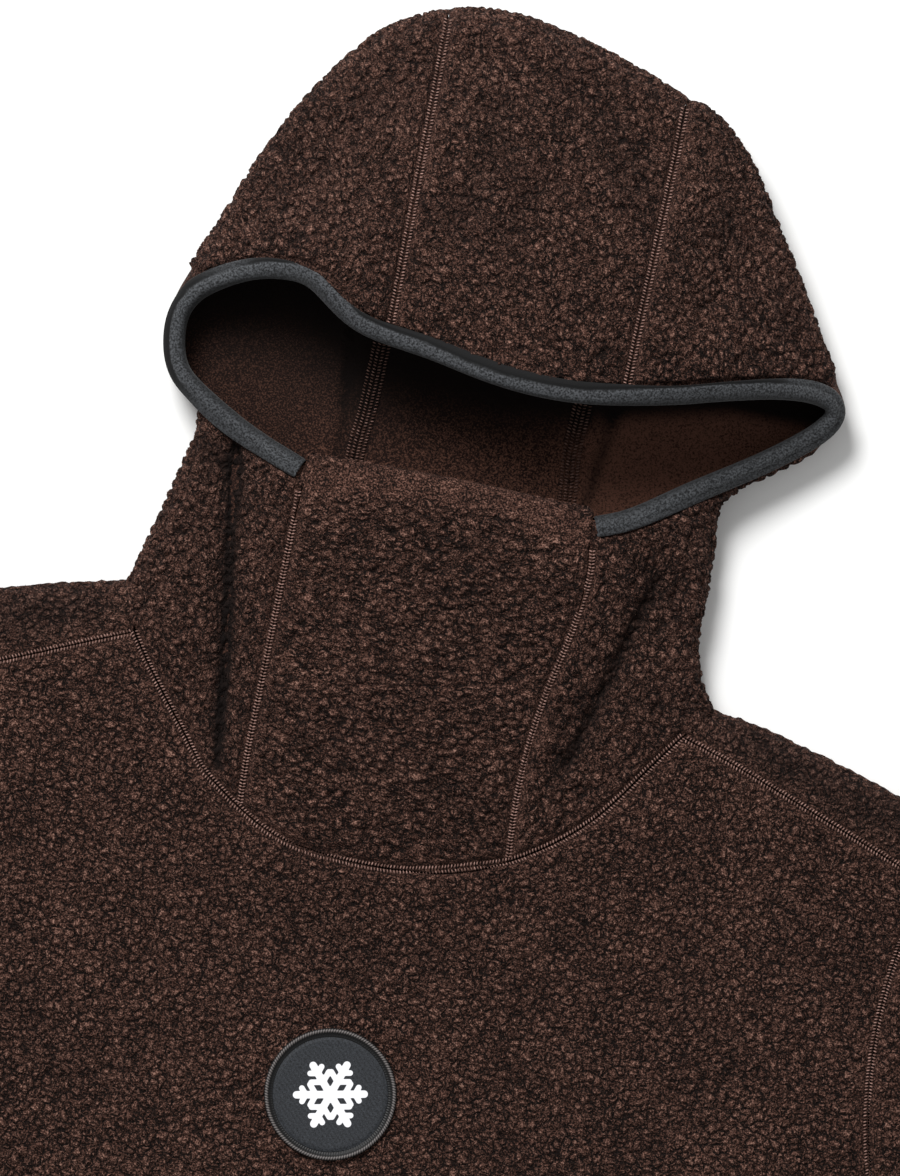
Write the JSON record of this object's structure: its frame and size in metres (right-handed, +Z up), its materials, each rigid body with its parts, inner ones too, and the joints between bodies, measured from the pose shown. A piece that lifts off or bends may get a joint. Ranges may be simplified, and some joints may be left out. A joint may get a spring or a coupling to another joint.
{
  "type": "fleece hoodie",
  "caption": "High-pile fleece pullover hoodie laid flat, with a puffed three-panel hood, a raised face panel, a bound face opening, set-in sleeves and a round chest patch",
  "frame": {"origin": "bottom centre of the bounding box, on the surface that the garment lies on", "axes": "+X to the viewer's right across the sleeves, +Y from the hem to the hood, +Z up from the surface"},
  "size_m": [1.3264, 0.956, 0.0603],
  "materials": {
    "body_front_cloth": "high-pile fleece",
    "body_back_cloth": "high-pile fleece",
    "sleeve_left_cloth": "high-pile fleece",
    "sleeve_right_cloth": "high-pile fleece",
    "hood_center_cloth": "high-pile fleece",
    "hood_side_left_cloth": "high-pile fleece",
    "hood_side_right_cloth": "high-pile fleece",
    "face_panel_cloth": "high-pile fleece",
    "opening_binding_cloth": "soft knit binding",
    "chest_patch_cloth": "woven patch with a merrowed rim"
  },
  "bodies": {
    "root": {"body_front": "body_front_cloth", "body_back": "body_back_cloth", "sleeve_left": "sleeve_left_cloth", "sleeve_right": "sleeve_right_cloth", "hood_center": "hood_center_cloth", "hood_side_left": "hood_side_left_cloth", "hood_side_right": "hood_side_right_cloth", "face_panel": "face_panel_cloth", "opening_binding": "opening_binding_cloth", "chest_patch": "chest_patch_cloth"}
  },
  "joints": []
}
